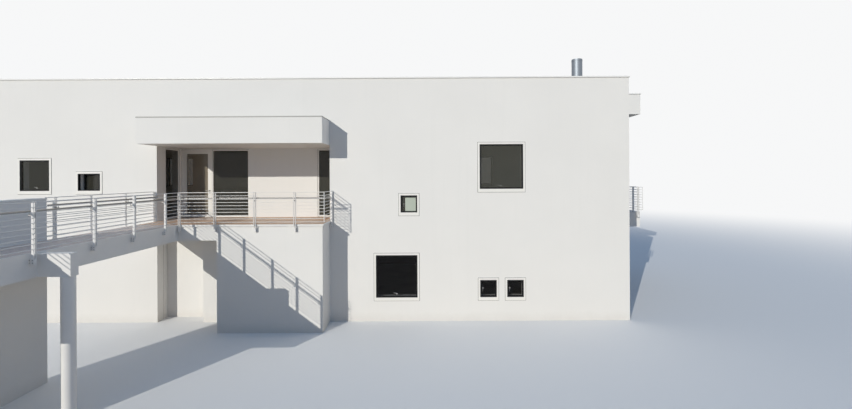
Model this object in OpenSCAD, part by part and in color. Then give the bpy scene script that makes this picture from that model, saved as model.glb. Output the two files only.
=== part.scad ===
// Two-storey rendered house with a flat roof, a recessed upper entrance and a footbridge.
// Millimetres, +Z up. The origin is on the ground at the middle of the house's footprint,
// the front faces -Y. Every piece is laid out from the front left corner of the house.

/* [House] */
// Length of the house along its front
house_w = 24680; // [24000:20:30000]
// Depth of the house from front to rear
house_d = 9000; // [8000:50:12000]
// Height of the outer walls below the coping
wall_h = 8390; // [8200:10:9500]
// Thickness of the outer walls
wall_t = 350; // [250:10:400]
// Thickness of the ground floor slab
ground_slab_t = 200; // [150:10:300]
// Level of the upper floor and of the decks
deck_z = 3480; // [3300:10:3600]
// Thickness of the upper floor
floor_t = 350; // [250:10:400]
// Level of the top of the roof slab
roof_z = 7850; // [7700:10:8000]
// Thickness of the roof slab
roof_t = 350; // [250:10:400]

/* [Coping] */
// Thickness of the roof coping above the wall
coping_t = 30; // [24:2:60]
// Drop of the roof coping's edges below the top of the wall
coping_drip = 12; // [8:2:40]
// Thickness of the roof coping's edges
coping_edge = 6; // [4:1:12]
// Overhang of the roof coping past a wall face
coping_lip = 30; // [20:5:50]
// Fall of the roof coping's top towards the roof
coping_fall = 12; // [4:1:20]
// Open joint between lengths of coping
coping_joint = 3; // [2:1:6]
// Height of the metal edge on the entrance canopy
canopy_edge_t = 36; // [30:2:70]
// Overhang of that metal edge
canopy_edge_lip = 6; // [4:1:30]

/* [Entrance recess] */
// Distance from the right end of the house to the recess
recess_from_right = 10330; // [9800:10:10800]
// Width of the recess
recess_w = 5960; // [5700:10:6300]
// Depth of the recess behind the front wall's face
recess_depth = 1450; // [1200:10:1700]
// Level of the soffit over the recess
soffit_z = 6080; // [6000:10:6300]
// Thickness of the walls round the recess
recess_wall_t = 300; // [200:10:400]
// How far the canopy, the balcony and the bay stand out in front
projection = 1045; // [800:5:1300]
// Height of the canopy's face below its coping
canopy_h = 830; // [500:10:900]
// Thickness of the ceiling over the recess
ceiling_t = 150; // [100:10:200]

/* [Lower front] */
// Width of the bay below the balcony
bay_w = 3390; // [3000:10:3700]
// Width of the pier between the bay and the undercroft
pier_w = 990; // [600:10:1200]
// Depth of the undercroft behind the front wall's face
undercroft_depth = 580; // [450:10:700]
// Thickness of the slab below the landing's deck
landing_t = 465; // [350:5:480]
// Thickness of the decks
deck_t = 45; // [40:5:55]
// Thickness of the white edging round the balcony's deck
edging_t = 40; // [20:2:40]
// Height of that edging
edging_h = 60; // [60:5:80]

/* [Footbridge] */
// Width of the footbridge
bridge_w = 1350; // [1200:10:1600]
// Length of the footbridge in front of the landing
bridge_len = 8055; // [8000:5:8600]
// Width of the bridge's edge beside its deck
bridge_edge = 40; // [30:5:60]
// Diameter of the round column
column_d = 260; // [220:5:400]
// Distance of the column's axis from the bridge's edge
column_out = 550; // [500:2:800]
// Width of the beam from the bridge to the column
beam_w = 200; // [150:5:220]
// Drop of the beam's top below the deck
beam_drop = 35; // [20:5:60]
// Distance of the column's axis from the landing
column_along = 4790; // [4600:10:4900]
// Where the side wall starts, measured from the landing
side_wall_from = 3170; // [2900:5:3500]
// Thickness of the side wall
side_wall_t = 300; // [200:10:400]
// Height of the side wall above the deck
side_wall_h = 1020; // [900:10:1200]
// Thickness of the side wall's coping
side_coping_t = 40; // [30:5:60]
// Overhang of the side wall's coping
side_coping_lip = 12; // [5:1:30]

/* [Balustrades] */
// Height of a balustrade above the deck
guard_h = 1035; // [950:5:1100]
// Distance from the edge of a slab to the balustrade's centre line
rail_off = 75; // [70:5:100]
// Number of bars
bar_count = 10; // [8:1:10]
// Diameter of the top bar
top_bar_d = 20; // [18:1:22]
// Diameter of the upright rod that ties the bars at a corner
corner_rod_d = 25; // [24:1:30]
// Diameter of the other bars
bar_d = 16; // [10:1:18]
// Distance between bars
bar_pitch = 105; // [90:1:110]
// Thickness of a flat of a post
flat_t = 12; // [8:1:15]
// Width of a flat of a post
flat_w = 50; // [40:2:56]
// Gap between the two flats of a post
flat_gap = 44; // [24:2:50]
// Drop of the posts below the deck
post_drop = 220; // [200:10:260]
// Height of the block and plate that hold a post to the slab
foot_h = 110; // [80:10:120]
// Width of that plate
plate_w = 90; // [80:2:110]
// Thickness of that plate
plate_t = 10; // [6:1:14]
// Diameter of the handrail
handrail_d = 42; // [34:2:50]
// Height of the handrail's axis above the deck
handrail_z = 840; // [780:10:880]
// Distance of the handrail's axis inside the balustrade's centre line
handrail_in = 95; // [80:5:120]
// Diameter of a handrail arm
arm_d = 28; // [20:2:32]
// Drop of the arms below the handrail's axis
arm_drop = 85; // [70:5:100]
// Diameter of the pin between an arm and the handrail
pin_d = 14; // [10:1:18]
// Thickness of the plate that holds an arm to a post
arm_plate_t = 8; // [5:1:12]
// Distance between posts along the balcony's front
front_pitch = 1270; // [1200:10:1300]
// Distance between the first two posts of the balcony
front_first = 1130; // [1050:10:1200]
// Distance between posts along the bridge
bridge_pitch = 1350; // [1300:10:1380]
// Distance from the landing to the first post on the bridge's right
bridge_first = 785; // [700:5:900]
// Extra distance between the posts on either side of the outrigger beam
beam_bay_extra = 200; // [160:5:260]
// Distance from the house to the first post on the bridge's left
left_first = 80; // [70:5:150]
// Distance from the last of those posts to the side wall
left_last = 305; // [200:5:400]
// Distance from a corner of the end balcony to the post before it
corner_post_in = 185; // [100:5:250]
// Distance from that corner to the first post along the end
terrace_first = 720; // [600:10:900]

/* [Windows] */
// Distance from the right end of the house to the outermost windows
end_margin = 3660; // [3300:20:4000]
// Distance from the recess to the second upper window
second_from_recess = 1950; // [1800:10:2200]
// Sill level of the upper windows
upper_sill = 4550; // [4400:10:4700]
// Sill level of the lower windows
lower_sill = 820; // [700:10:1000]
// Sill level of the small window at mid height
middle_sill = 3750; // [3700:10:3900]
// Width of the large upper window
big_w = 1500; // [1300:10:1600]
// Height of the large upper window
big_h = 1540; // [1300:10:1600]
// Width of the large lower window
low_w = 1430; // [1200:10:1500]
// Height of the large lower window
low_h = 1460; // [1300:10:1500]
// Width of the small square windows
small_w = 570; // [500:10:600]
// Height of the small square windows
small_h = 590; // [500:10:600]
// Width of the left upper window
left_w = 1020; // [800:10:1100]
// Height of the left upper window
left_h = 1060; // [800:10:1100]
// Width of the second upper window from the left
second_w = 770; // [600:10:800]
// Distance between the first two upper windows
second_gap = 980; // [900:10:1100]
// Distance from the right end to the middle column of windows
middle_from_right = 7320; // [7000:20:7600]
// Distance between the centres of the rear windows
rear_pitch = 5500; // [5200:50:5600]
// Distance between the centres of the windows in the left end wall
end_pitch = 2900; // [2600:50:3000]
// Width of the wall beside and between the balcony doors at the right end
terrace_pier = 400; // [300:10:500]
// Height of a balcony door at the right end
terrace_door_h = 2540; // [2300:10:2700]
// Width of a window's outer frame
frame_bar = 24; // [20:2:40]
// Width of the bars of the sash inside it
sash_bar = 24; // [20:2:50]
// Depth of a window's frame
frame_depth = 80; // [60:5:100]
// How far a frame stands out of the wall face
frame_proud = 5; // [2:1:8]
// Depth of a sash's outer face behind the wall face
sash_in = 8; // [4:1:20]
// Opening angle of the second window's sash, which stands ajar
sash_angle = 17; // [12:1:35]
// Clearance between that sash and its frame all round
hinge_gap = 0.3; // [0.2:0.1:0.8]
// Width of the white surround at the sides and the head
trim_side = 65; // [50:5:80]
// Width of the white surround below the window
trim_sill = 110; // [80:5:130]
// How far the white surround stands out of the wall face
trim_t = 15; // [10:1:20]
// Thickness of the glass
glass_t = 24; // [16:2:32]
// Depth of the glass behind the outer face of its frame
glass_in = 30; // [20:2:40]

/* [Entrance door and glazing] */
// Width of the door frame
door_frame_w = 1185; // [1100:5:1300]
// Height of the glazing in the recess above the deck
glazing_h = 2570; // [2400:10:2580]
// Width of the fixed window beside the door
fixed_w = 1385; // [1200:5:1500]
// Width of the narrow window at the recess's right
narrow_w = 795; // [600:5:850]
// Width of the side light in the recess's left wall
sidelight_w = 885; // [600:5:890]
// Distance from the front wall's face to the side light
sidelight_from = 490; // [450:5:500]
// Width of the side light's upright bars
sidelight_bar = 60; // [50:5:90]
// Width of a white frame's bars
door_bar = 50; // [40:5:80]
// Width of the fixed window's bar against the door frame
shared_bar = 16; // [10:2:40]
// Width of the door leaf's stiles
stile_w = 135; // [100:5:150]
// Width of the door leaf's rails
rail_w = 110; // [80:5:150]
// Thickness of the door leaf
leaf_t = 68; // [54:2:74]
// Clearance round the door leaf at its sides and head
leaf_gap = 4; // [2:1:6]
// Depth of the white frames behind the recess's back face
glazing_in = 30; // [10:5:60]
// Height of the lever above the deck
lever_z = 1010; // [950:10:1100]
// Length of the lever
lever_len = 130; // [110:5:150]
// Diameter of the lever
lever_d = 20; // [16:1:24]
// Distance of the lever's axis from the leaf's face
lever_out = 50; // [40:2:60]
// Diameter of the rose behind the lever
rose_d = 52; // [40:2:60]
// Thickness of the rose
rose_t = 8; // [5:1:10]

/* [Right-hand end] */
// Distance from the front wall's face to the balcony at the right end
terrace_from = 3050; // [2800:10:3200]
// Width of the balcony at the right end
terrace_w = 1910; // [1600:10:2200]
// Thickness of that balcony's slab
terrace_t = 620; // [400:10:700]
// Width of the canopy above that balcony
terrace_roof_w = 1950; // [1700:10:2300]
// Height of that canopy's face
terrace_roof_h = 840; // [500:10:900]

/* [Flue] */
// Outer diameter of the flue
flue_d = 370; // [300:10:420]
// Level of the top of the flue
flue_top = 9170; // [9000:10:9800]
// Distance from the right end of the house to the flue
flue_from_right = 1550; // [1300:10:2000]
// Distance from the front wall's face to the flue
flue_back = 660; // [640:10:900]
// Wall of the flue
flue_wall = 30; // [20:2:50]

/* [Hidden] */
$fn = 48;

render_white = [0.90, 0.89, 0.87];
metal_white = [0.93, 0.93, 0.92];
metal_grey = [0.60, 0.60, 0.59];
frame_black = [0.06, 0.06, 0.07];
glass_tint = [0.25, 0.30, 0.33, 0.6];
deck_tan = [0.76, 0.64, 0.52];
rail_white = [0.88, 0.89, 0.90];
steel_grey = [0.62, 0.64, 0.66];

// Places along the front, from its left end
recess_x1 = house_w - recess_from_right;
recess_x0 = recess_x1 - recess_w;
bay_x0 = recess_x1 - bay_w;
pier_x0 = bay_x0 - pier_w;
bridge_x0 = recess_x0;
bridge_x1 = bridge_x0 + bridge_w;

// Places in front of the house and levels
landing_y = -projection;
bridge_end_y = landing_y - bridge_len;
landing_z = deck_z - deck_t;
landing_bottom = landing_z - landing_t;
side_wall_y = landing_y - side_wall_from;
column_y = landing_y - column_along;
column_x = bridge_x1 + column_out;
post_w = flat_gap + 2 * flat_t;
foot_top = -(post_drop - foot_h);
end_clear = 20;
corner_clear = 4;

// Windows as [distance along the wall, sill, width, height, opening angle], seen from outside
second_x = recess_x0 - second_from_recess - second_w;
left_windows = [
    [second_x - second_gap - left_w, upper_sill, left_w, left_h, 0],
    [second_x, upper_sill, second_w, small_h, sash_angle]];
middle_x1 = house_w - middle_from_right;
right_x1 = house_w - end_margin;
right_windows = [
    [right_x1 - big_w, upper_sill, big_w, big_h, 0],
    [middle_x1 - small_w, middle_sill, small_w, small_h, 0],
    [middle_x1 - low_w, lower_sill, low_w, low_h, 0],
    [right_x1 - big_w, lower_sill, small_w, small_h, 0],
    [right_x1 - small_w, lower_sill, small_w, small_h, 0]];
front_windows = concat(left_windows, right_windows);
function row_of(count, middle, pitch, sill, w, h) =
    [for (k = [0 : count - 1]) [middle + (k - (count - 1) / 2) * pitch - w / 2, sill, w, h, 0]];
rear_windows = concat(
    row_of(4, house_w / 2, rear_pitch, upper_sill, big_w, big_h),
    row_of(4, house_w / 2, rear_pitch, lower_sill, low_w, low_h));
left_end_windows = concat(
    row_of(2, house_d / 2, end_pitch, upper_sill, big_w, big_h),
    row_of(2, house_d / 2, end_pitch, lower_sill, low_w, low_h));
terrace_door_w = (house_d - wall_t - terrace_from - 3 * terrace_pier) / 2;
terrace_pitch = terrace_door_w + terrace_pier;
terrace_middle = terrace_from + terrace_pier / 2 + terrace_pitch;
terrace_doors = row_of(2, terrace_middle, terrace_pitch, deck_z, terrace_door_w, terrace_door_h);
right_end_windows = row_of(2, terrace_middle, terrace_pitch, lower_sill, low_w, low_h);

// White frames in the back of the recess as [distance from its left side, width]
fixed_x = door_frame_w;
narrow_x = recess_w - narrow_w;
leaf_x = door_bar + leaf_gap;
leaf_w = door_frame_w - 2 * leaf_x;
leaf_h = glazing_h - door_bar - leaf_gap;
lever_x = leaf_x + leaf_w - stile_w / 2;

module from_corner() {
    translate([-house_w / 2, -house_d / 2, 0]) children();
}

// An upright wall whose outer face is at y = 0, with openings cut through it
module upright(x0, x1, z0, z1, t, openings = []) {
    translate([0, t, 0]) rotate([90, 0, 0]) linear_extrude(t) difference() {
        translate([x0, z0]) square([x1 - x0, z1 - z0]);
        for (o = openings) translate([o[0], o[1]]) square([o[2], o[3]]);
    }
}

module slab(x0, x1, y0, y1, z0, z1) {
    translate([x0, y0, z0]) cube([x1 - x0, y1 - y0, z1 - z0]);
}

// The four outer faces: x runs to the right as seen from outside, y into the wall
module at_rear() { translate([house_w, house_d, 0]) rotate([0, 0, 180]) children(); }
module at_left() { translate([0, house_d, 0]) rotate([0, 0, -90]) children(); }
module at_right() { translate([house_w, 0, 0]) rotate([0, 0, 90]) children(); }

// The area inside the outer walls, seen from above
module inside_area() {
    translate([wall_t, wall_t]) square([house_w - 2 * wall_t, house_d - 2 * wall_t]);
}

module ground_floor_slab() {
    color("silver") from_corner() linear_extrude(ground_slab_t) {
        difference() {
            inside_area();
            translate([recess_x0 - wall_t, 0])
                square([pier_x0 - recess_x0 + 2 * wall_t, undercroft_depth + wall_t]);
        }
        translate([bay_x0 + wall_t, landing_y + wall_t]) square([bay_w - 2 * wall_t, projection]);
    }
}

module front_wall_left() {
    color(render_white) from_corner() upright(0, recess_x0, 0, wall_h, wall_t, left_windows);
}

module front_wall_right() {
    color(render_white) from_corner() upright(recess_x1, house_w, 0, wall_h, wall_t, right_windows);
}

module wall_over_entrance() {
    color(render_white) from_corner() upright(recess_x0, recess_x1, soffit_z + ceiling_t, wall_h, wall_t);
}

module front_pier() {
    color(render_white) from_corner() upright(pier_x0, bay_x0, 0, landing_bottom, wall_t);
}

module left_wall() {
    color(render_white) from_corner() at_left()
        upright(wall_t, house_d - wall_t, 0, wall_h, wall_t, left_end_windows);
}

module right_wall() {
    color(render_white) from_corner() at_right()
        upright(wall_t, house_d - wall_t, 0, wall_h, wall_t, concat(terrace_doors, right_end_windows));
}

module rear_wall() {
    color(render_white) from_corner() at_rear() upright(0, house_w, 0, wall_h, wall_t, rear_windows);
}

module recess_left_wall() {
    color(render_white) from_corner() difference() {
        slab(recess_x0 - recess_wall_t, recess_x0, wall_t, recess_depth + recess_wall_t,
            deck_z, roof_z - roof_t);
        slab(recess_x0 - recess_wall_t - 1, recess_x0 + 1, sidelight_from, sidelight_from + sidelight_w,
            deck_z - 1, deck_z + glazing_h);
    }
}

module recess_right_wall() {
    color(render_white) from_corner()
        slab(recess_x1, recess_x1 + recess_wall_t, wall_t, recess_depth + recess_wall_t,
            deck_z, roof_z - roof_t);
}

module recess_back_wall() {
    color(render_white) from_corner() translate([recess_x0, recess_depth, 0])
        upright(0, recess_w, deck_z, roof_z - roof_t, recess_wall_t, [
            [-1, deck_z - 1, fixed_x + fixed_w + 1, glazing_h + 1],
            [narrow_x, deck_z - 1, narrow_w + 1, glazing_h + 1]]);
}

module undercroft_wall() {
    color(render_white) from_corner() linear_extrude(landing_bottom) difference() {
        translate([recess_x0 - wall_t, wall_t])
            square([pier_x0 - recess_x0 + 2 * wall_t, undercroft_depth]);
        translate([recess_x0, 0]) square([pier_x0 - recess_x0, undercroft_depth]);
    }
}

module bay_front_wall() {
    color(render_white) from_corner() translate([0, landing_y, 0])
        upright(bay_x0, recess_x1, 0, landing_bottom, wall_t);
}

module bay_side_walls() {
    color(render_white) from_corner() for (x = [bay_x0, recess_x1 - wall_t])
        slab(x, x + wall_t, landing_y + wall_t, wall_t, 0, landing_bottom);
}

module upper_floor() {
    color("silver") from_corner() translate([0, 0, deck_z - floor_t]) linear_extrude(floor_t)
        difference() {
            inside_area();
            translate([recess_x0, 0]) square([recess_w, recess_depth]);
        }
}

module roof_slab() {
    color("gray") from_corner() translate([0, 0, roof_z - roof_t]) linear_extrude(roof_t) inside_area();
}

// The roof coping's section: x from the wall's outer face inwards, y up from the wall's top
module coping_section() {
    outer = -coping_lip;
    inner = wall_t + coping_lip;
    difference() {
        polygon([[outer, -coping_drip], [inner, -coping_drip], [inner, coping_t - coping_fall],
            [outer, coping_t]]);
        translate([outer + coping_edge, -coping_drip - 1])
            square([inner - outer - 2 * coping_edge, coping_drip + 1]);
    }
}

// The coping of a wall along x, mitred at both corners
module coping_length(wall_len) {
    run = wall_len + 2 * coping_lip;
    deep = wall_t + 2 * coping_lip;
    half_joint = coping_joint / 2;
    translate([-coping_lip, 0, wall_h]) intersection() {
        rotate([90, 0, 90]) linear_extrude(run) coping_section();
        translate([0, -coping_lip, -coping_drip - 1]) linear_extrude(coping_drip + coping_t + 2)
            polygon([[half_joint, 0], [run - half_joint, 0], [run - deep - half_joint, deep],
                [deep + half_joint, deep]]);
    }
}

// A length on each of the four walls, and the cap of the end canopy
module roof_coping() {
    color(metal_white) from_corner() {
        coping_length(house_w);
        at_rear() coping_length(house_w);
        at_left() coping_length(house_d);
        at_right() coping_length(house_d);
        slab(house_w + coping_lip + coping_joint, house_w + terrace_roof_w + coping_lip,
            terrace_from - coping_lip, house_d + coping_lip, wall_h - coping_drip, wall_h + coping_t);
    }
}

// A deep box in front of the wall, and the thin ceiling of the recess behind it
module entrance_canopy() {
    color(render_white) from_corner() union() {
        slab(recess_x0, recess_x1, landing_y, 0, soffit_z, soffit_z + canopy_h);
        slab(recess_x0, recess_x1, -1, recess_depth, soffit_z, soffit_z + ceiling_t);
    }
}

module canopy_coping() {
    color(metal_grey) from_corner() slab(recess_x0 - canopy_edge_lip, recess_x1 + canopy_edge_lip,
        landing_y - canopy_edge_lip, 0, soffit_z + canopy_h, soffit_z + canopy_h + canopy_edge_t);
}

// The slab, with the white edging that its deck has in front and at the right
module landing_slab() {
    edge_y = landing_y - edging_t;
    color(render_white) from_corner() union() {
        slab(recess_x0, recess_x1, landing_y, recess_depth, landing_bottom, landing_z);
        slab(bridge_x1, recess_x1 + edging_t, edge_y, landing_y, deck_z - edging_h, deck_z);
        slab(recess_x1, recess_x1 + edging_t, edge_y, 0, deck_z - edging_h, deck_z);
    }
}

module balcony_deck() {
    color(deck_tan) from_corner() slab(recess_x0, recess_x1, landing_y, recess_depth, landing_z, deck_z);
}

module bridge_slab() {
    color(metal_white) from_corner() difference() {
        slab(bridge_x0, bridge_x1, bridge_end_y, landing_y, landing_bottom, deck_z);
        slab(bridge_x0 + bridge_edge, bridge_x1 - bridge_edge, bridge_end_y - 1, landing_y + 1,
            landing_z, deck_z + 1);
    }
}

module bridge_deck() {
    color(deck_tan) from_corner() slab(bridge_x0 + bridge_edge, bridge_x1 - bridge_edge,
        bridge_end_y, landing_y, landing_z, deck_z);
}

module bridge_column() {
    color(metal_white) from_corner() translate([column_x, column_y, 0])
        cylinder(d = column_d, h = landing_bottom, $fn = 96);
}

module outrigger_beam() {
    color(metal_white) from_corner() slab(bridge_x1, column_x + column_d / 2,
        column_y - beam_w / 2, column_y + beam_w / 2, landing_bottom, deck_z - beam_drop);
}

module bridge_side_wall() {
    color(render_white) from_corner() slab(bridge_x0 - side_wall_t, bridge_x0,
        bridge_end_y, side_wall_y, 0, deck_z + side_wall_h - side_coping_t);
}

module side_wall_coping() {
    color(metal_white) from_corner() slab(bridge_x0 - side_wall_t - side_coping_lip,
        bridge_x0 + side_coping_lip, bridge_end_y, side_wall_y,
        deck_z + side_wall_h - side_coping_t, deck_z + side_wall_h);
}

// A post: two flats, and the block and plate that hold them to the slab's edge
module guard_post() {
    for (x = [-post_w / 2, flat_gap / 2]) translate([x, -flat_w / 2, -post_drop])
        cube([flat_t, flat_w, post_drop + guard_h]);
    translate([-flat_gap / 2, -flat_w / 2, -post_drop]) cube([flat_gap, flat_w / 2 + rail_off, foot_h]);
    translate([-plate_w / 2, rail_off - plate_t, -post_drop]) cube([plate_w, plate_t, foot_h]);
}

function bar_z(k) = guard_h - top_bar_d / 2 - k * bar_pitch;
function bar_size(k) = k == 0 ? top_bar_d : bar_d;

// A straight balustrade along x: the slab's edge is on the +y side and its top at z = 0
module guard_run(x0, x1, posts) {
    union() {
        for (x = posts) translate([x, 0, 0]) guard_post();
        for (k = [0 : bar_count - 1]) translate([x0, 0, bar_z(k)])
            rotate([0, 90, 0]) cylinder(d = bar_size(k), h = x1 - x0, $fn = 16);
    }
}

// The upright rod that ties the bars at a corner
module corner_rod() {
    low = bar_z(bar_count - 1) - bar_d / 2 - 4;
    translate([0, 0, low]) cylinder(d = corner_rod_d, h = guard_h + 2 - low, $fn = 24);
}

// The handrail of a straight balustrade, on an arm and a pin at each post
module handrail_run(x0, x1, posts) {
    arm_z = handrail_z - arm_drop;
    arm_plate_h = arm_d + 6;
    union() {
        translate([x0, handrail_in, handrail_z]) rotate([0, 90, 0])
            cylinder(d = handrail_d, h = x1 - x0, $fn = 32);
        for (x = posts) translate([x, 0, arm_z]) {
            translate([-post_w / 2, flat_w / 2, -arm_plate_h / 2])
                cube([post_w, arm_plate_t, arm_plate_h]);
            translate([0, flat_w / 2 + 1, 0]) rotate([-90, 0, 0])
                cylinder(d = arm_d, h = handrail_in + arm_d / 2 - flat_w / 2 - 1, $fn = 24);
            translate([0, handrail_in, 0]) cylinder(d = pin_d, h = arm_drop, $fn = 16);
        }
    }
}

// Where each straight balustrade stands
module at_balcony_front() { translate([bridge_x1 + rail_off, landing_y - rail_off, deck_z]) children(); }
module at_balcony_side() {
    translate([recess_x1 + rail_off, landing_y - rail_off, deck_z]) rotate([0, 0, 90]) children();
}
module at_bridge_right() {
    translate([bridge_x1 + rail_off, bridge_end_y, deck_z]) rotate([0, 0, 90]) children();
}
module at_bridge_left() {
    translate([bridge_x0 - rail_off, 0, deck_z]) rotate([0, 0, -90]) children();
}

// Posts from each run's start: as many whole bays as the run has room for
after_corner = corner_rod_d / 2 + corner_clear;
balcony_run = recess_x1 - bridge_x1;
balcony_last = floor((balcony_run - front_first - post_w) / front_pitch);
balcony_posts = concat([0], [for (k = [0 : balcony_last]) front_first + k * front_pitch]);
balcony_side_run = projection + rail_off - end_clear;
balcony_side_posts = [balcony_side_run - post_w / 2];
bridge_right_run = bridge_len - rail_off - flat_w / 2 - corner_clear;
right_last = floor((bridge_len - bridge_first - beam_bay_extra - post_w) / bridge_pitch);
bridge_right_posts = [for (k = [0 : right_last])
    bridge_len - bridge_first - k * bridge_pitch - (k > 2 ? beam_bay_extra : 0)];
bridge_left_run = -side_wall_y - end_clear;
left_end_post = -side_wall_y - left_last;
left_count = floor((left_end_post - left_first - bridge_pitch / 2) / bridge_pitch);
bridge_left_posts = concat([for (k = [0 : left_count]) left_first + k * bridge_pitch], [left_end_post]);

module balcony_front_balustrade() {
    color(rail_white) from_corner() at_balcony_front() union() {
        guard_run(-post_w / 2, balcony_run, balcony_posts);
        translate([balcony_run, 0, 0]) corner_rod();
    }
}

module balcony_side_balustrade() {
    color(rail_white) from_corner() at_balcony_side()
        guard_run(after_corner, balcony_side_run, balcony_side_posts);
}

module bridge_right_balustrade() {
    color(rail_white) from_corner() at_bridge_right()
        guard_run(end_clear, bridge_right_run, bridge_right_posts);
}

module bridge_left_balustrade() {
    color(rail_white) from_corner() at_bridge_left()
        guard_run(end_clear, bridge_left_run, bridge_left_posts);
}

// The front length ends at the outer sides of the two lengths that meet it
module handrails() {
    reach = handrail_in + handrail_d / 2;
    bridge_end = bridge_len - rail_off + handrail_in - handrail_d / 2 - corner_clear;
    color(steel_grey) from_corner() {
        at_balcony_front() handrail_run(-reach, balcony_run - reach - corner_clear, balcony_posts);
        at_balcony_side() handrail_run(handrail_in - handrail_d / 2, balcony_side_run, balcony_side_posts);
        at_bridge_right() handrail_run(end_clear, bridge_end, bridge_right_posts);
        at_bridge_left() handrail_run(end_clear, bridge_left_run, bridge_left_posts);
    }
}

// A hollow round flue with a collar at the roof and a lip at the top
module flue() {
    r = flue_d / 2;
    height = flue_top - roof_z;
    collar = 20;
    lip = 5;
    color(steel_grey) from_corner() translate([house_w - flue_from_right, flue_back, roof_z])
        rotate_extrude($fn = 96) polygon([
            [r - flue_wall, 0], [r + collar, 0], [r + collar, 60], [r, 90], [r, height - 70],
            [r + lip, height - 70], [r + lip, height - 40], [r, height - 40], [r, height],
            [r - flue_wall, height]]);
}

// A ring from y0 to y1 whose hole is w by h and whose outer lower left corner is at the origin
module ring(w, h, side, low, high, y0, y1) {
    translate([0, y1, 0]) rotate([90, 0, 0]) linear_extrude(y1 - y0) difference() {
        square([w + 2 * side, h + low + high]);
        translate([side, low]) square([w, h]);
    }
}

// Draws the child once in each window: $w and $h are its size, $angle its sash's opening angle
// and $low the depth of its lower trim
module each_window_of(windows, low) {
    for (o = windows) translate([o[0], 0, o[1]]) {
        $w = o[2];
        $h = o[3];
        $angle = o[4];
        $low = low;
        children();
    }
}

module each_window() {
    each_window_of(front_windows, trim_sill) children();
    at_rear() each_window_of(rear_windows, trim_sill) children();
    at_left() each_window_of(left_end_windows, trim_sill) children();
    at_right() each_window_of(right_end_windows, trim_sill) children();
    at_right() each_window_of(terrace_doors, 0) children();
}

module window_surrounds() {
    color(metal_white) from_corner() each_window() translate([-trim_side, 0, -$low])
        ring($w, $h, trim_side, $low, trim_side, -trim_t, 0);
}

// Clearance round a window's sash: none where it is shut
function sash_clear() = $angle > 0 ? hinge_gap : 0;

// Places a window's sash, hinged at its right side and opening inwards
module in_sash() {
    translate([$w - frame_bar - sash_clear(), frame_depth, 0]) rotate([0, 0, -$angle])
        translate([frame_bar - $w, -frame_depth, 0]) children();
}

// Each outer frame and the sash inside it
module window_frames() {
    rim = frame_bar + sash_bar;
    color(frame_black) from_corner() each_window() {
        ring($w - 2 * frame_bar, $h - 2 * frame_bar, frame_bar, frame_bar, frame_bar,
            -frame_proud, frame_depth);
        in_sash() translate([frame_bar, 0, frame_bar + sash_clear()])
            ring($w - 2 * rim, $h - 2 * rim, sash_bar, sash_bar - sash_clear(), sash_bar - sash_clear(),
                sash_in, frame_depth);
    }
}

module window_glass() {
    rim = frame_bar + sash_bar;
    color(glass_tint) from_corner() each_window() in_sash()
        slab(rim, $w - rim, glass_in, glass_in + glass_t, rim, $h - rim);
}

// A white frame of a given width, with upright bars of the given widths
module white_frame(w, left, right) {
    upright(0, w, 0, glazing_h, frame_depth,
        [[left, door_bar, w - left - right, glazing_h - 2 * door_bar]]);
}

module white_frame_glass(w, left, right) {
    slab(left, w - right, glass_in, glass_in + glass_t, door_bar, glazing_h - door_bar);
}

module in_recess(x) {
    translate([recess_x0 + x, recess_depth + glazing_in, deck_z]) children();
}

module in_sidelight() {
    translate([recess_x0 - glazing_in, sidelight_from, deck_z]) rotate([0, 0, 90]) children();
}

// The door's frame has no threshold bar
module entrance_door_frame() {
    color(metal_white) from_corner() in_recess(0)
        ring(door_frame_w - 2 * door_bar, glazing_h - door_bar, door_bar, 0, door_bar, 0, frame_depth);
}

module entrance_door_leaf() {
    color(metal_white) from_corner() in_recess(leaf_x)
        ring(leaf_w - 2 * stile_w, leaf_h - 2 * rail_w, stile_w, rail_w, rail_w, 0, leaf_t);
}

module entrance_door_glass() {
    color(glass_tint) from_corner() in_recess(leaf_x) slab(stile_w, leaf_w - stile_w,
        (leaf_t - glass_t) / 2, (leaf_t + glass_t) / 2, rail_w, leaf_h - rail_w);
}

module entrance_door_handle() {
    color(steel_grey) from_corner() in_recess(lever_x) translate([0, 0, lever_z]) union() {
        rotate([90, 0, 0]) cylinder(d = rose_d, h = rose_t);
        rotate([90, 0, 0]) cylinder(d = lever_d, h = lever_out);
        translate([0, -lever_out, 0]) rotate([0, -90, 0]) cylinder(d = lever_d, h = lever_len);
        translate([0, -lever_out, 0]) sphere(d = lever_d);
    }
}

module entrance_window_frames() {
    color(metal_white) from_corner() {
        in_recess(fixed_x) white_frame(fixed_w, shared_bar, door_bar);
        in_recess(narrow_x) white_frame(narrow_w, door_bar, door_bar);
        in_sidelight() white_frame(sidelight_w, sidelight_bar, sidelight_bar);
    }
}

module entrance_window_glass() {
    color(glass_tint) from_corner() {
        in_recess(fixed_x) white_frame_glass(fixed_w, shared_bar, door_bar);
        in_recess(narrow_x) white_frame_glass(narrow_w, door_bar, door_bar);
        in_sidelight() white_frame_glass(sidelight_w, sidelight_bar, sidelight_bar);
    }
}

module terrace_slab() {
    color(render_white) from_corner()
        slab(house_w, house_w + terrace_w, terrace_from, house_d, deck_z - terrace_t, deck_z);
}

module terrace_canopy() {
    color(render_white) from_corner() slab(house_w, house_w + terrace_roof_w, terrace_from, house_d,
        wall_h - terrace_roof_h, wall_h - coping_drip);
}

// A short panel from the house's end wall to a corner of the end balcony
module terrace_short_panel() {
    short_run = terrace_w + rail_off;
    union() {
        guard_run(end_clear, short_run, [post_w / 2 + end_clear, short_run - corner_post_in]);
        translate([short_run, 0, 0]) corner_rod();
    }
}

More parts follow.
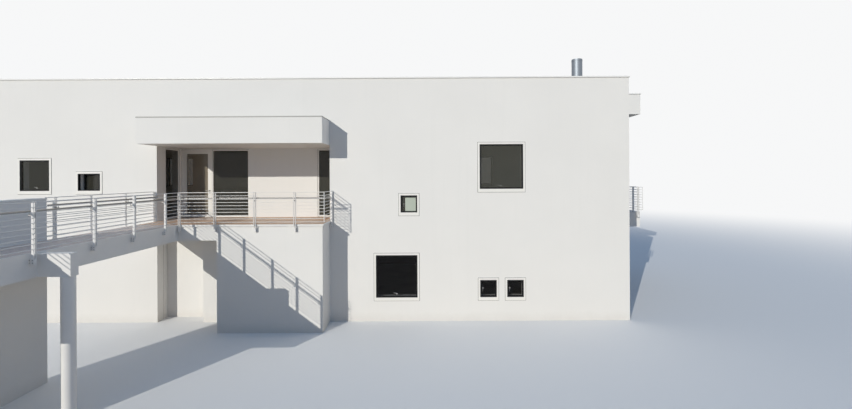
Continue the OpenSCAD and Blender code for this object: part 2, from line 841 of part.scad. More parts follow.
// Three panels round the end balcony, the long one between the two short ones
module terrace_balustrade() {
    long_run = house_d - terrace_from;
    long_bay = (long_run - 2 * terrace_first) / 3;
    color(rail_white) from_corner() {
        translate([house_w, terrace_from - rail_off, deck_z]) terrace_short_panel();
        translate([house_w + terrace_w + rail_off, terrace_from, deck_z]) rotate([0, 0, 90])
            guard_run(after_corner - rail_off, long_run + rail_off - after_corner,
                [for (k = [0 : 3]) terrace_first + k * long_bay]);
        translate([house_w, house_d + rail_off, deck_z]) mirror([0, 1, 0]) terrace_short_panel();
    }
}

ground_floor_slab();
front_wall_left();
front_wall_right();
wall_over_entrance();
front_pier();
left_wall();
right_wall();
rear_wall();
recess_left_wall();
recess_right_wall();
recess_back_wall();
undercroft_wall();
bay_front_wall();
bay_side_walls();
upper_floor();
roof_slab();
roof_coping();
entrance_canopy();
canopy_coping();
landing_slab();
balcony_deck();
bridge_slab();
bridge_deck();
bridge_column();
outrigger_beam();
bridge_side_wall();
side_wall_coping();
balcony_front_balustrade();
balcony_side_balustrade();
bridge_right_balustrade();
bridge_left_balustrade();
handrails();
flue();
window_surrounds();
window_frames();
window_glass();
entrance_door_frame();
entrance_door_leaf();
entrance_door_glass();
entrance_door_handle();
entrance_window_frames();
entrance_window_glass();
terrace_slab();
terrace_canopy();
terrace_balustrade();
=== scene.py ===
"""Looks of the detached house: finishes, boards, fixings, joints and the stage."""

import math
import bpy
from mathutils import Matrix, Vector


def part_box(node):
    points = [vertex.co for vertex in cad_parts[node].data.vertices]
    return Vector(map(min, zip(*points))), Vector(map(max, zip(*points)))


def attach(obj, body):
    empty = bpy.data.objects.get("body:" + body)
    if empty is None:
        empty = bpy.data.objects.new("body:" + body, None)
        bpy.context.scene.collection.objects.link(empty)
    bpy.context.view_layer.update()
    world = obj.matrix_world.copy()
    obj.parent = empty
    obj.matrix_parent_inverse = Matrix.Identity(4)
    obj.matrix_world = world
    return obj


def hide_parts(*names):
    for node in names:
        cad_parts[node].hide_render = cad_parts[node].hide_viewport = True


bl_info = {
    "name": "Detached House Looks",
    "version": (1, 0, 0),
    "blender": (4, 5, 0),
    "location": "View3D > Sidebar > House",
    "description": "Finishes and small pieces of the detached house, on its packed frame",
    "category": "Object",
}

import bmesh
import bpy
from bpy.props import FloatProperty, FloatVectorProperty, PointerProperty
from bpy.types import Operator, Panel, PropertyGroup
from mathutils import Matrix, Vector

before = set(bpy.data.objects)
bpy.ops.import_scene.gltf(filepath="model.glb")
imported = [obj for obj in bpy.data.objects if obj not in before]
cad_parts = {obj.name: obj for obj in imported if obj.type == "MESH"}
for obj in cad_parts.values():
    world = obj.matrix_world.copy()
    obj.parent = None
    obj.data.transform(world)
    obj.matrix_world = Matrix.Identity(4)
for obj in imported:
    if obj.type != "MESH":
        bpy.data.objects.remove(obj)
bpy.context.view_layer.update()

OUTER_WALLS = ("front_wall_left", "front_wall_right", "left_wall", "right_wall", "rear_wall")
WALL_NODES = (
    "wall_over_entrance", "front_pier", "recess_left_wall", "recess_right_wall", "recess_back_wall",
    "undercroft_wall", "bay_front_wall", "bay_side_walls", "entrance_canopy", "landing_slab",
    "bridge_side_wall", "terrace_slab", "terrace_canopy",
)
# The slab whose edge each balustrade's posts stand against
CARRIED_BY = {
    "balcony_front_balustrade": "balcony_deck", "balcony_side_balustrade": "balcony_deck",
    "bridge_right_balustrade": "bridge_slab", "bridge_left_balustrade": "bridge_slab",
    "terrace_balustrade": "terrace_slab",
}
ROOT = "root"

# Points that lie this close together, in metres, are on one level
SLACK = 0.001
# How far a room's plaster is taken into the wall or the roof slab, so that it covers the whole face
SKIN = 0.01
# Places of the screws across a board, and of the bolts up a post's foot, as shares
SCREW_ROWS = (0.2, 0.77)
BOLT_ROWS = (0.25, 0.75)
# The mix node's sockets for colours, which share their labels with those for numbers and vectors
MIX_FIRST, MIX_SECOND, MIX_RESULT = 6, 7, 2


# Sizes and colours that a user would change

def colour(text, default):
    return FloatVectorProperty(
        name=text, description=text, default=default, subtype="COLOR", size=3, min=0.0, max=1.0)


def number(text, description, default, **kind):
    return FloatProperty(name=text, description=description, default=default, **kind)


def length(text, description, default):
    return number(text, description, default, min=0.0, unit="LENGTH")


def share(text, description, default):
    return number(text, description, default, min=0.0, max=1.0, subtype="FACTOR")


class HousePaints(PropertyGroup):
    """Colours of the walls, metals and glass."""
    render_white: colour("White render", (0.83, 0.82, 0.80))
    streak_grey: colour("Streaks on the render", (0.73, 0.725, 0.70))
    splash_grey: colour("Render near the ground", (0.60, 0.58, 0.54))
    coping_white: colour("Coping paint", (0.83, 0.83, 0.815))
    steel_white: colour("Steel paint", (0.84, 0.83, 0.815))
    trim_white: colour("Window trim", (0.85, 0.835, 0.80))
    edge_grey: colour("Canopy's metal edge", (0.34, 0.34, 0.33))
    joint_grey: colour("Joint filler", (0.20, 0.20, 0.20))
    frame_black: colour("Window frames", (0.012, 0.012, 0.014))
    gasket_black: colour("Gaskets", (0.03, 0.03, 0.03))
    glass_tint: colour("Glass", (0.013, 0.012, 0.011))
    glass_cover: share("Glass cover", "Share of the light that a face of an upper pane holds back", 0.33)
    low_cover: share("Lower glass cover", "The same on the ground floor", 0.22)
    # Painted shade: the rear panes are made mostly dark so that no daylight from them shows through the
    # front windows.
    rear_cover_painted_shade: share("Rear glass cover", "The same on the rear wall, as with drawn curtains", 0.75)
    # Painted light: this pale tone on the upper panes stands in for the lit rooms and the reflections
    # seen in the glass.
    upper_pane_painted_light: colour("Haze on the upper panes", (0.105, 0.105, 0.085))
    door_haze: colour("Curtain's tone on the door's pane", (0.62, 0.53, 0.40))
    frosted_green: colour("Frosted pane", (0.47, 0.52, 0.44))
    # Painted shade: the ground floor's plaster is kept dark so that its rooms look dim through the
    # windows.
    plaster_low_painted_shade: colour("Plaster, ground floor", (0.12, 0.09, 0.08))
    plaster_high: colour("Plaster, upper floor", (0.62, 0.60, 0.56))
    satin_steel: colour("Satin steel", (0.30, 0.30, 0.30))
    handle_steel: colour("Window handles", (0.90, 0.90, 0.90))
    screw_steel: colour("Deck screws", (0.42, 0.42, 0.42))
    bolt_zinc: colour("Bolts", (0.50, 0.50, 0.50))
    # Painted reflection: the flue's steel is dark and bluish in place of the sky it reflects.
    flue_steel_painted_reflection: colour("Flue steel", (0.25, 0.28, 0.32))
    membrane_grey: colour("Roof membrane", (0.20, 0.205, 0.21))
    concrete_grey: colour("Concrete floors", (0.30, 0.29, 0.28))


class HouseDecks(PropertyGroup):
    """The boards of the balcony and the footbridge."""
    board: length("Board", "Width of a board", 0.145)
    gap: length("Gap", "Gap between boards", 0.005)
    arris: length("Arris", "Rounding of a board's edges", 0.003)
    joist_pitch: length("Joists", "Distance between the rows of screws", 0.45)
    screw: length("Screw", "Diameter of a screw's head", 0.009)
    screw_end: length("Screw's place", "From a deck's end to its first screws", 0.04)
    screw_depth: length("Screw's depth", "How far a screw's head goes into its board", 0.002)
    screw_rise: length("Screw's rise", "How far it stands out", 0.0006)
    tan: colour("Boards", (0.75, 0.52, 0.37))
    brown: colour("Grain", (0.54, 0.34, 0.22))
    worn: colour("Worn boards", (0.56, 0.50, 0.44))
    # Partly weathering and partly painted sheen: the footbridge's boards are greyer and lighter in place
    # of the sky's gloss on them at a low angle.
    weathered_and_painted_sheen: colour("Footbridge's weathered boards", (0.70, 0.64, 0.62))


class HouseFixings(PropertyGroup):
    """Bolts, joints, gaskets, handles, strips and bands."""
    bolt: length("Bolt", "Width of a bolt's head", 0.021)
    bolt_head: length("Bolt head", "Height of a bolt's head", 0.009)
    screw: length("Screw", "Diameter of the screws that hold a handrail's arm", 0.011)
    foot: length("Foot", "Height of the block at a post's foot", 0.11)
    foot_plate: length("Foot's plate", "Thickness of the plate at a post's foot", 0.01)
    arm_plate: length("Arm's plate", "Thickness of the plate that holds a handrail's arm", 0.008)
    arm_level: length("Arm's level", "Height of a handrail's arms above the deck", 0.755)
    handrail: length("Handrail", "Diameter of the handrail", 0.042)
    cap_rim: length("Cap's rim", "How much wider a handrail's cap is, and how far it stands out", 0.003)
    cap_grip: length("Cap's grip", "How far a cap reaches over its handrail", 0.01)
    flue_collar: length("Flue's collar", "Width of the flue's collar at the roof", 0.02)
    flue_band: length("Flue band", "Height of the band round the flue", 0.03)
    flue_band_t: length("Flue band's thickness", "How far the band stands out", 0.006)
    flue_band_z: length("Flue band's level", "From the flue's foot to the band", 0.22)
    joint: length("Joint", "Width of the joint round a window's white surround", 0.012)
    joint_rise: length("Joint's rise", "How far the joint filler stands out of the wall", 0.0015)
    cover: length("Cover strip", "Width of a strip over a joint in the coping", 0.06)
    cover_t: length("Cover's thickness", "Thickness of that strip", 0.0012)
    cover_inset: length("Cover's inset", "How far the left end's strips stay off the fascia", 0.0005)
    cover_pitch: length("Coping length", "Distance between the joints in the coping", 3.0)
    upstand: length("Upstand", "Thickness of the membrane turned up behind the parapet", 0.006)
    upstand_gap: length("Upstand's gap", "From the upstand to the top of the walls", 0.005)
    gasket: length("Gasket", "Width of the gasket round a pane", 0.007)
    gasket_rise: length("Gasket's rise", "How far the gasket stands out of its pane", 0.006)
    handle_in: length("Handle's place", "From a window's edge to its handle", 0.104)
    grip: length("Handle", "Length of a window's handle", 0.125)
    rose: length("Rose", "Diameter of the rose behind a handle or lock", 0.05)
    small_window: length("Small window", "A narrower window has its handle at the side", 0.7)
    lock_drop: length("Lock's place", "From the entrance door's lever down to its lock", 0.08)
    film: length("Film", "Thickness of the frosted film", 0.0008)
    film_gap: length("Film's gap", "From the pane to its frosted film", 0.0002)
    # Painted shade: the clear strips at the left and top of the frosted film leave dark glass where the
    # reveal's shadow lies; the left one also leaves the handle in view.
    film_side_painted_shade: length("Film's side margin", "Clear strip at the left of the frosted film", 0.11)
    film_top_painted_shade: length("Film's top margin", "Clear strip above the frosted film", 0.035)
    sill: length("Sill", "Width of the strip in front of the entrance door", 0.044)
    sill_gap: length("Sill's gap", "From the sill to the door's leaf", 0.001)
    sill_back: length("Sill's back", "Height of the sill at the leaf", 0.014)
    sill_front: length("Sill's front", "Height of the sill at its outer edge", 0.005)
    sill_arris: length("Sill's arris", "Rounding of the sill's edges", 0.0015)


class HouseStage(PropertyGroup):
    """Camera, lamps and floor."""
    eye: FloatVectorProperty(
        name="Camera", description="Where the camera stands", default=(5.33, -19.0, 4.97),
        subtype="TRANSLATION", size=3)
    lens: number("Lens", "Focal length", 17.77, unit="CAMERA")
    shift: number("Shift", "Rise of the view", -0.0323)
    roll: number("Roll", "Turn about the line of sight", math.radians(-0.28), subtype="ANGLE")
    key: number("Key", "Strength of the key lamp", 2.63, min=0.0)
    key_from: FloatVectorProperty(
        name="Key from", description="Direction that the key lamp stands in",
        default=(-1.0, -1.72, 0.74), subtype="DIRECTION", size=3)
    key_size: number("Key size", "Width of the key lamp", math.radians(0.3), subtype="ANGLE")
    key_colour: colour("Key colour", (1.0, 0.96, 0.87))
    fill: number("Fill", "Strength of the soft light all round", 0.39, min=0.0)
    fill_colour: colour("Fill colour", (0.43, 0.65, 1.0))
    floor: colour("Floor", (0.80, 0.80, 0.80))
    floor_bounce: colour("Floor, as it throws light on the house", (0.53, 0.45, 0.36))
    floor_reach: length("Floor's reach", "From the middle of the floor to its sides", 400.0)
    fade_from: length("Fade from", "Where the floor begins to fade into the backdrop", 22.0)
    fade_to: length("Fade to", "Where the floor has faded into the backdrop", 60.0)
    backdrop: colour("Backdrop", (0.93, 0.935, 0.94))


# Finishes

class Finish:
    """A material whose patterns are laid out in metres on the piece."""

    def __init__(self, name, roughness, metallic=0.0):
        self.material = bpy.data.materials.new(name)
        self.material.use_nodes = True
        self.tree = self.material.node_tree
        self.tree.nodes.clear()
        self.shader = self.add("ShaderNodeBsdfPrincipled")
        self.set("Roughness", roughness)
        self.set("Metallic", metallic)
        self.surface = self.add("ShaderNodeOutputMaterial").inputs["Surface"]
        self.put(self.surface, self.shader.outputs["BSDF"])
        self.place = self.add("ShaderNodeTexCoord").outputs["Object"]

    def add(self, kind, **values):
        node = self.tree.nodes.new(kind)
        for key, value in values.items():
            setattr(node, key, value)
        return node

    def put(self, socket, value):
        if isinstance(value, bpy.types.NodeSocket):
            self.tree.links.new(value, socket)
        else:
            socket.default_value = value

    def put_colour(self, socket, value):
        self.put(socket, value if isinstance(value, bpy.types.NodeSocket) else (*value, 1.0))

    def set(self, key, value):
        """Sets a socket of the shader to a number or a pattern."""
        self.put(self.shader.inputs[key], value)

    def set_colour(self, value):
        self.put_colour(self.shader.inputs["Base Color"], value)

    def math(self, operation, a, b=0.0):
        node = self.add("ShaderNodeMath", operation=operation)
        self.put(node.inputs[0], a)
        self.put(node.inputs[1], b)
        return node.outputs[0]

    def times(self, a, b):
        return self.math("MULTIPLY", a, b)

    def split(self):
        node = self.add("ShaderNodeSeparateXYZ")
        self.put(node.inputs[0], self.place)
        return node.outputs

    def stretched(self, x, y, z):
        node = self.add("ShaderNodeMapping")
        self.put(node.inputs["Vector"], self.place)
        node.inputs["Scale"].default_value = (x, y, z)
        return node.outputs[0]

    def noise(self, scale, detail=3.0, rough=0.5, place=None):
        node = self.add("ShaderNodeTexNoise")
        self.put(node.inputs["Vector"], place or self.place)
        node.inputs["Scale"].default_value = scale
        node.inputs["Detail"].default_value = detail
        node.inputs["Roughness"].default_value = rough
        return node.outputs["Fac"]

    def between(self, value, low, high, to_low=0.0, to_high=1.0, curve="LINEAR"):
        """What lies from low to high, spread out from to_low to to_high."""
        node = self.add("ShaderNodeMapRange", interpolation_type=curve)
        for key, amount in (("Value", value), ("From Min", low), ("From Max", high),
                            ("To Min", to_low), ("To Max", to_high)):
            self.put(node.inputs[key], amount)
        return node.outputs[0]

    def mixed(self, factor, first, second, most=1.0):
        """The first colour, and up to a share of the second where the factor is 1."""
        node = self.add("ShaderNodeMix", data_type="RGBA")
        self.put(node.inputs[0], factor if most == 1.0 else self.times(factor, most))
        self.put_colour(node.inputs[MIX_FIRST], first)
        self.put_colour(node.inputs[MIX_SECOND], second)
        return node.outputs[MIX_RESULT]

    def bump(self, height, distance, strength, under=None):
        node = self.add("ShaderNodeBump")
        node.inputs["Distance"].default_value = distance
        node.inputs["Strength"].default_value = strength
        self.put(node.inputs["Height"], height)
        if under is not None:
            self.put(node.inputs["Normal"], under)
        self.set("Normal", node.outputs[0])
        return node.outputs[0]


def shade(base, factor):
    return tuple(min(1.0, c * factor) for c in base)


def upstairs(f):
    """0 on the ground floor and 1 on the upper one, changing over within the floor between them."""
    low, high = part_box("upper_floor")
    return f.between(f.split()[2], low.z, high.z)


def below_roof(f):
    """1 up to the underside of the roof slab, and 0 above it."""
    return f.math("LESS_THAN", f.split()[2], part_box("roof_slab")[0].z + SKIN)


def wall_render(paints):
    """Fine mineral render with a soft unevenness, faint streaks and a splash zone at the ground."""
    f = Finish("wall_render", roughness=0.86)
    base = paints.render_white
    cloud = f.between(f.noise(0.45, detail=4.0), 0.35, 0.65)
    grain = f.between(f.noise(38.0, detail=5.0, rough=0.65), 0.3, 0.7)
    streak = f.between(f.noise(1.0, rough=0.6, place=f.stretched(5.0, 5.0, 0.22)), 0.55, 0.80)
    tone = f.mixed(cloud, shade(base, 0.968), base)
    tone = f.mixed(grain, tone, shade(base, 0.962), most=0.35)
    tone = f.mixed(streak, tone, paints.streak_grey, most=0.16)
    height = f.math("ADD", f.split()[2], f.times(f.noise(3.0, detail=4.0, rough=0.7), 0.35))
    splash = f.between(height, 0.16, 0.50, to_low=0.30, to_high=0.0)
    f.set_colour(f.mixed(splash, tone, paints.splash_grey))
    trowel = f.bump(f.noise(1.6, detail=2.0), distance=0.012, strength=0.35)
    f.bump(f.noise(420.0, rough=0.6), distance=0.0012, strength=0.55, under=trowel)
    return f


def plaster(f, paints):
    """Smooth plaster of the rooms; its much darker tone on the ground floor is painted shade for the dim
    rooms there.
    """
    cloud = f.between(f.noise(0.8, detail=4.0), 0.35, 0.65)
    shaded_low_tone, high_tone = (f.mixed(cloud, shade(tone, 0.93), shade(tone, 1.04))
                           for tone in (paints.plaster_low_painted_shade, paints.plaster_high))
    return f.mixed(upstairs(f), shaded_low_tone, high_tone)


def plastered_render(paints):
    """The outer walls' render, with plaster on the faces that look into the rooms."""
    f = wall_render(paints)
    within = below_roof(f)
    for place, side in zip(f.split(), house_box()[1].xy):
        inner_face = side - wall_thickness() + SKIN
        within = f.times(within, f.math("LESS_THAN", f.math("ABSOLUTE", place), inner_face))
    outside = f.shader.inputs["Base Color"].links[0].from_socket
    f.set_colour(f.mixed(within, outside, plaster(f, paints)))
    return f.material


def painted_metal(name, base, roughness=0.42, peel=900.0, specular=0.5):
    """Sprayed paint: faint orange peel, a little dust and slightly uneven gloss."""
    f = Finish(name, roughness=roughness)
    dust = f.between(f.noise(2.2, detail=5.0, rough=0.6), 0.40, 0.72)
    f.set_colour(f.mixed(dust, base, shade(base, 0.93), most=0.5))
    f.set("Roughness", f.between(f.noise(7.0, detail=4.0), 0.3, 0.7,
                                 to_low=roughness - 0.06, to_high=roughness + 0.10))
    f.set("Specular IOR Level", specular)
    f.bump(f.noise(peel, detail=2.0), distance=0.0004, strength=0.25)
    return f.material


def brushed_metal(name, base, grain, roughness=0.32, metallic=1.0, grain_z=None):
    """Bare steel with a grain: grain is the pattern's scale, and grain_z its own scale along z."""
    f = Finish(name, roughness=roughness, metallic=metallic)
    lines = f.noise(1.0, detail=4.0, rough=0.7, place=f.stretched(grain, grain, grain_z or grain))
    f.set_colour(f.mixed(lines, shade(base, 0.86), shade(base, 1.06)))
    f.set("Roughness", f.between(lines, 0.25, 0.75,
                                 to_low=roughness - 0.08, to_high=roughness + 0.12))
    f.bump(lines, distance=0.0003, strength=0.35)
    return f.material


def clear_glass(name, paints, curtain_and_painted_light_tone):
    """Faintly uneven double glazing that lets the sun into the rooms. Upper panes take a pale tone, more
    so towards the right: on the windows it is painted light in place of lit rooms and reflections, and
    on the entrance door's pane it is its curtain's tone. Rear ones let little light through."""
    painted_light_reach = 7.0
    f = Finish(name, roughness=0.0)
    x, y, _ = f.split()
    high = upstairs(f)
    # Painted light: how much of that tone a pane takes, more towards the right; on the door's pane the
    # tone is its curtain's.
    painted_light_and_tone_share = f.times(f.between(f.noise(0.9), 0.3, 0.7, to_low=0.90, to_high=1.0),
                   f.between(x, -painted_light_reach, painted_light_reach, to_low=0.62, to_high=1.03))
    f.set_colour(f.mixed(f.times(high, painted_light_and_tone_share), paints.glass_tint, curtain_and_painted_light_tone))
    front = f.between(high, 0.0, 1.0, to_low=paints.low_cover, to_high=paints.glass_cover)
    # Painted shade: the rear panes turn mostly dark, so no daylight shows through the house.
    rear = f.math("GREATER_THAN", y, house_box()[1].y - wall_thickness())
    f.set("Alpha", f.math("MAXIMUM", front, f.times(rear, paints.rear_cover_painted_shade)))
    f.set("IOR", 1.45)
    f.bump(f.noise(1.3, detail=2.0), distance=0.004, strength=0.10)
    return f.material


def frosted_film(paints):
    """Milky film with a fine grain."""
    f = Finish("frosted_film", roughness=0.35)
    cloud = f.between(f.noise(5.0, detail=5.0), 0.35, 0.65)
    f.set_colour(f.mixed(cloud, shade(paints.frosted_green, 0.97), shade(paints.frosted_green, 1.03)))
    f.set("Roughness", f.between(f.noise(90.0), 0.3, 0.7, to_low=0.30, to_high=0.42))
    f.bump(f.noise(1400.0, detail=2.0), distance=0.0002, strength=0.4)
    return f.material


def roof_membrane(paints):
    """Grey sheets that lap, with dust in the low places, and plaster on the roof slab's underside."""
    sheet_width, lap_share = 1.05, 0.085
    f = Finish("roof_membrane", roughness=0.78)
    base = paints.membrane_grey
    dust = f.between(f.noise(0.55, detail=6.0, rough=0.6), 0.42, 0.66)
    across = f.math("FRACT", f.math("DIVIDE", f.split()[0], sheet_width))
    lap = f.math("LESS_THAN", across, lap_share)
    tone = f.mixed(dust, base, shade(base, 1.55))
    tone = f.mixed(lap, tone, shade(base, 0.75), most=0.30)
    f.set_colour(f.mixed(below_roof(f), tone, plaster(f, paints)))
    sheet = f.bump(lap, distance=0.004, strength=0.8)
    f.bump(f.noise(300.0), distance=0.0008, strength=0.4, under=sheet)
    return f.material


def concrete(paints):
    """Floated concrete, cloudy and with small pores."""
    f = Finish("concrete", roughness=0.75)
    cloud = f.between(f.noise(1.1, detail=6.0, rough=0.6), 0.35, 0.65)
    pores = f.between(f.noise(60.0, detail=2.0), 0.66, 0.74)
    f.set_colour(f.mixed(cloud, shade(paints.concrete_grey, 0.85), shade(paints.concrete_grey, 1.15)))
    f.bump(pores, distance=0.002, strength=-0.5)
    return f.material


def deck_boards(decks):
    """Softwood boards along x: each row has its own tone and grain, and the footbridge's are grey,
    partly weathered and partly painted sheen.
    """
    grain_along, grain_across, row_shift, rings = 1.1, 26.0, 7.3, 42.0
    f = Finish("deck_boards", roughness=0.72)
    x, y, z = f.split()
    row = f.math("FLOOR", f.math("DIVIDE", y, decks.board + decks.gap))
    own = f.add("ShaderNodeTexWhiteNoise", noise_dimensions="1D")
    f.put(own.inputs["W"], row)
    shifted = f.add("ShaderNodeCombineXYZ")
    f.put(shifted.inputs[0], f.math("ADD", f.times(x, grain_along), f.times(row, row_shift)))
    f.put(shifted.inputs[1], f.times(y, grain_across))
    f.put(shifted.inputs[2], f.times(z, grain_across))
    grain = f.noise(1.0, detail=6.0, rough=0.62, place=shifted.outputs[0])
    lines = f.between(f.math("SINE", f.times(grain, rings)), -0.2, 1.0)
    worn = f.between(f.noise(1.4, detail=4.0), 0.40, 0.70)
    tone = f.mixed(own.outputs["Value"], shade(decks.tan, 0.84), shade(decks.tan, 1.12))
    tone = f.mixed(lines, tone, decks.brown, most=0.42)
    tone = f.mixed(worn, tone, decks.worn, most=0.28)
    # The footbridge's grey is partly weathering and partly painted sheen of the sky at a low angle.
    grey = f.mixed(lines, shade(decks.weathered_and_painted_sheen, 1.08), shade(decks.weathered_and_painted_sheen, 0.80))
    outside = f.math("LESS_THAN", y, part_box("bridge_deck")[1].y)
    f.set_colour(f.mixed(outside, tone, grey, most=0.78))
    f.set("Roughness", f.between(lines, 0.0, 1.0, to_low=0.50, to_high=0.66))
    f.bump(lines, distance=0.0007, strength=0.6)
    return f.material


def joint_filler(paints):
    """Grey sealant, smoothed by hand, with dirt in its hollows."""
    f = Finish("joint_filler", roughness=0.7)
    dirt = f.between(f.noise(6.0, detail=5.0, rough=0.65), 0.38, 0.68)
    f.set_colour(f.mixed(dirt, shade(paints.joint_grey, 0.8), shade(paints.joint_grey, 1.25)))
    f.bump(f.noise(60.0), distance=0.0006, strength=0.5)
    return f.material


def finish_node(material, *names):
    for name in names:
        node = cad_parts[name]
        node.data.materials.clear()
        node.data.materials.append(material)


# New pieces

def place_of(part):
    """The points of a vertex, an edge or a face, in order."""
    verts = [part] if isinstance(part, bmesh.types.BMVert) else part.verts
    return sorted(tuple(vertex.co) for vertex in verts)


def settle(bm):
    """Sorts a mesh's parts by place, because extrude and spin make them in any order."""
    for parts in (bm.verts, bm.edges, bm.faces):
        ranks = {part: rank for rank, part in enumerate(sorted(parts, key=place_of))}
        parts.sort(key=ranks.get)


def add_piece(name, bm, material, replaced=()):
    """Makes a piece from a bmesh that is laid out in place, on the house's one body."""
    bmesh.ops.recalc_face_normals(bm, faces=bm.faces)
    settle(bm)
    mesh = bpy.data.meshes.new(name)
    bm.to_mesh(mesh)
    bm.free()
    mesh.materials.append(material)
    piece = bpy.data.objects.new(name, mesh)
    bpy.context.scene.collection.objects.link(piece)
    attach(piece, ROOT)
    if replaced:
        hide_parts(*replaced)


# Shapes and where they go

def block(bm, low, high):
    """A box between two corners; returns its vertices."""
    low, high = Vector(low), Vector(high)
    made = bmesh.ops.create_cube(bm, size=1.0)["verts"]
    bmesh.ops.scale(bm, vec=high - low, verts=made)
    bmesh.ops.translate(bm, vec=(low + high) / 2, verts=made)
    return made


def rounded(bm, offset):
    """Rounds every edge."""
    bmesh.ops.bevel(bm, geom=bm.edges[:], offset=offset, segments=2, profile=0.5, affect="EDGES",
                    material=-1)


def rod(bm, start, end, diameter, sides):
    """A capped rod from one point to another; returns its vertices."""
    start, end = Vector(start), Vector(end)
    made = bmesh.ops.create_cone(bm, cap_ends=True, segments=sides, radius1=diameter / 2,
                                 radius2=diameter / 2, depth=(end - start).length)["verts"]
    turn = (end - start).to_track_quat("Z", "Y").to_matrix()
    bmesh.ops.rotate(bm, cent=(0, 0, 0), matrix=turn, verts=made)
    bmesh.ops.translate(bm, vec=(start + end) / 2, verts=made)
    return made


def corners_of(points):
    """The lowest and highest corners of the box round some points."""
    return Vector(map(min, zip(*points))), Vector(map(max, zip(*points)))


def loose_boxes(name):
    """The box of each loose part of a CAD node, in the order of their corners."""
    bm = bmesh.new()
    bm.from_mesh(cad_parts[name].data)
    bmesh.ops.remove_doubles(bm, verts=bm.verts, dist=1e-5)
    left = set(bm.verts)
    boxes = []
    while left:
        reached = [left.pop()]
        points = []
        while reached:
            vertex = reached.pop()
            points.append(vertex.co.copy())
            for edge in vertex.link_edges:
                other = edge.other_vert(vertex)
                if other in left:
                    left.remove(other)
                    reached.append(other)
        boxes.append(corners_of(points))
    bm.free()
    return sorted(boxes, key=lambda box: tuple(round(c, 4) for c in (*box[0], *box[1])))


def house_box():
    """The corners of the house's walls."""
    left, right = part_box("rear_wall")
    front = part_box("front_wall_left")[0].y
    return Vector((left.x, front, 0.0)), Vector((right.x, right.y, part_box("left_wall")[1].z))


def wall_thickness():
    low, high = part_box("rear_wall")
    return high.y - low.y


def runs_along_x(box):
    """Whether a box is longer along x than along y."""
    return box[1].x - box[0].x > box[1].y - box[0].y


def wall_turn(box):
    """Which way the outer wall faces that a box lies along."""
    middle = (box[0] + box[1]) / 2
    if runs_along_x(box):
        return 0 if middle.y < 0.0 else 180
    return 90 if middle.x > 0.0 else 270


def facing(turn):
    """Axes as seen from outside: x to the right, y up, z outwards; a turn of 0 faces the front."""
    return Matrix.Rotation(math.radians(turn), 4, "Z") @ Matrix.Rotation(math.radians(90.0), 4, "X")


def seen(box, turn):
    """A box's lowest and highest corners along those axes."""
    back = facing(turn).inverted()
    return corners_of([back @ corner for corner in box])


def ring(bm, low, high, width, rise, place):
    """A closed flat ring: its outer corners, the width of its bars and how far it rises along z."""
    made = bmesh.ops.create_grid(bm, x_segments=1, y_segments=1, size=0.5)["verts"]
    bmesh.ops.scale(bm, vec=(high.x - low.x, high.y - low.y, 1.0), verts=made)
    bmesh.ops.translate(bm, vec=((low.x + high.x) / 2, (low.y + high.y) / 2, low.z), verts=made)
    inner = made[0].link_faces[0]
    bars = bmesh.ops.inset_region(bm, faces=[inner], thickness=width, use_even_offset=True,
                                  use_boundary=True)["faces"]
    bmesh.ops.delete(bm, geom=[inner], context="FACES_ONLY")
    raised = bmesh.ops.extrude_face_region(bm, geom=bars)["geom"]
    top = [part for part in raised if isinstance(part, bmesh.types.BMVert)]
    bmesh.ops.translate(bm, vec=(0.0, 0.0, rise), verts=top)
    every = {vertex for face in bars for vertex in face.verts} | set(top)
    bmesh.ops.transform(bm, matrix=place, verts=list(every))


def hoop(bm, middle, radius, width, height):
    """A closed band round an upright axis: its inner radius, its width outwards and its height."""
    x, y, z = middle
    section = [bm.verts.new((x + radius + dx, y, z + dz))
               for dx, dz in ((0.0, 0.0), (width, 0.0), (width, height), (0.0, height))]
    edges = [bm.edges.new(pair) for pair in zip(section, section[1:] + section[:1])]
    bmesh.ops.spin(bm, geom=[*section, *edges], cent=middle, axis=(0, 0, 1), angle=math.tau,
                   steps=64, use_merge=True, use_duplicate=False)


def bolt(bm, point, out, width, height, place, sides=6):
    """A bolt's head on its washer, on a face at a point, standing out along a direction."""
    washer_width, washer_height = 1.35 * width, 0.2 * height
    point, out = Vector(point), Vector(out)
    washer = point + out * washer_height
    verts = rod(bm, point, washer, washer_width, 16)
    verts += rod(bm, washer, point + out * height, width, sides)
    bmesh.ops.transform(bm, matrix=place, verts=verts)


def post_feet(name):
    """The lowest points of each post in a balustrade."""
    widest_foot = 0.25
    points = [vertex.co.copy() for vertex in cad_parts[name].data.vertices]
    level = min(point.z for point in points) + SLACK
    feet = []
    for point in sorted((p for p in points if p.z < level), key=lambda p: (p.x, p.y)):
        near = [foot for foot in feet if (foot[0] - point).length < widest_foot]
        if near:
            near[0].append(point)
        else:
            feet.append([point])
    return feet


def slab_turn(foot, carrier):
    """Which way a post faces whose foot stands against a slab's edge."""
    low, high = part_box(carrier)
    sides = {
        0: max(p.y for p in foot) - low.y, 90: min(p.x for p in foot) - high.x,
        180: min(p.y for p in foot) - high.y, 270: max(p.x for p in foot) - low.x,
    }
    turn = min(sides, key=lambda side: abs(sides[side]))
    if abs(sides[turn]) > 2 * SLACK:
        raise RuntimeError("a post stands clear of " + carrier)
    return turn


# The house's pieces and the stage

class HOUSE_OT_walls(Operator):
    """Gives the walls and slabs their render and the floors their concrete"""
    bl_idname = "house.walls"
    bl_label = "Walls"

    def execute(self, context):
        paints = context.scene.house_paints
        finish_node(wall_render(paints).material, *WALL_NODES)
        finish_node(plastered_render(paints), *OUTER_WALLS)
        finish_node(concrete(paints), "ground_floor_slab", "upper_floor")
        return {"FINISHED"}


